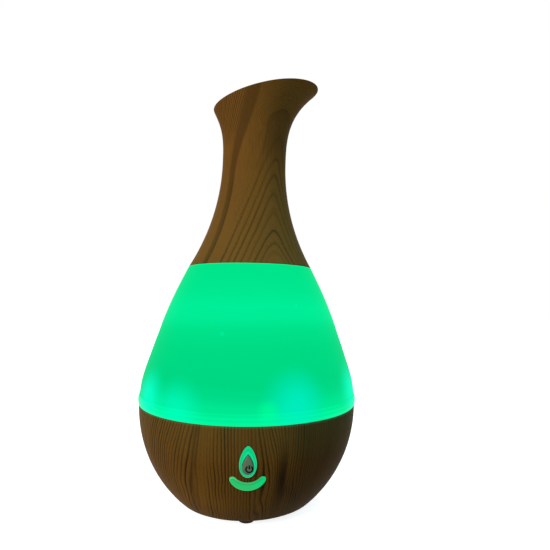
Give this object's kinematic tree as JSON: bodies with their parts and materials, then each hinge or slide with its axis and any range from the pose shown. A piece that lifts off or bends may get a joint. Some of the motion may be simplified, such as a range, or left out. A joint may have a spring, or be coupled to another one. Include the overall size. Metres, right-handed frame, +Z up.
{
  "type": "cool mist humidifier",
  "caption": "Jug-shaped cool mist humidifier: wood-grain bowl and spouted neck, milky lit shell that lifts off an open tank, drop and smile buttons, socket behind.",
  "frame": {"origin": "on the axis of the round bowl, at the floor under the rubber feet", "axes": "+Z up along the axis, -Y towards the buttons, +X towards the spout"},
  "size_m": [0.104, 0.104, 0.2041],
  "materials": {
    "grain_plastic": "satin, printed wood grain",
    "glow_plastic": "milky translucent, lit green from inside",
    "tank_plastic": "milky translucent",
    "guide_plastic": "translucent light guide",
    "key_plastic": "satin",
    "cover_plastic": "fine texture",
    "foot_rubber": "soft",
    "silicone": "soft",
    "white_plastic": "satin",
    "screw_steel": "zinc plated",
    "disc_ceramic": "silvered",
    "board_green": "solder mask",
    "lamp_plastic": "chip lamp",
    "black_plastic": "satin",
    "plunger_plastic": "satin",
    "bearing_bronze": "sintered",
    "copper_winding": "enamelled wire",
    "magnet_ferrite": "sintered",
    "shaft_steel": "ground",
    "sleeve_aluminium": "plain",
    "nut_brass": "nickel free",
    "pin_chrome": "polished",
    "lead_rubber": "soft"
  },
  "bodies": {
    "base": {"base_bowl": "grain_plastic", "water_tank": "tank_plastic", "drop_bezel": "guide_plastic", "bottom_cover": "cover_plastic", "rubber_feet": "foot_rubber", "deck_gasket": "silicone", "transducer_gasket": "silicone", "transducer_clamp": "white_plastic", "lead_headers": "white_plastic", "clamp_screws": "screw_steel", "ring_board_screws": "screw_steel", "button_board_screws": "screw_steel", "case_screws": "screw_steel", "fan_screws": "screw_steel", "transducer_disc": "disc_ceramic", "led_ring_board": "board_green", "button_board": "board_green", "main_board": "board_green", "ring_leds": "lamp_plastic", "button_leds": "lamp_plastic", "switch_bodies": "black_plastic", "fan_frame": "black_plastic", "power_socket": "black_plastic", "driver_chip": "black_plastic", "power_transistor": "black_plastic", "fan_bearing": "bearing_bronze", "fan_stator": "copper_winding", "driver_coil": "copper_winding", "driver_capacitors": "sleeve_aluminium", "heat_sink": "sleeve_aluminium", "socket_nut": "nut_brass", "socket_pin": "pin_chrome", "transducer_lead": "lead_rubber", "button_lead": "lead_rubber", "socket_lead": "lead_rubber", "ring_lead": "lead_rubber", "fan_lead": "lead_rubber"},
    "cover": {"light_shell": "glow_plastic", "neck_spout": "grain_plastic"},
    "power_button": {"power_button": "key_plastic", "power_plunger": "plunger_plastic"},
    "light_button": {"light_button": "guide_plastic", "light_plunger": "plunger_plastic"},
    "fan_rotor": {"fan_rotor": "black_plastic", "fan_shaft": "shaft_steel", "fan_magnet": "magnet_ferrite"}
  },
  "joints": [
    {"name": "cover_lift", "type": "slide", "parent": "base", "child": "cover", "axis": [0, 0, 1], "range_m": [0, 0.08]},
    {"name": "power_press", "type": "slide", "parent": "base", "child": "power_button", "axis": [0, 0.9511, 0.309], "range_m": [0, 0.0005], "stiffness_N_per_m": 400},
    {"name": "light_press", "type": "slide", "parent": "base", "child": "light_button", "axis": [0, 0.9511, 0.309], "range_m": [0, 0.0005], "stiffness_N_per_m": 400},
    {"name": "fan_spin", "type": "hinge", "parent": "base", "child": "fan_rotor", "pos_m": [0, 0, 0.0113], "axis": [0, 0, 1], "continuous": true}
  ]
}
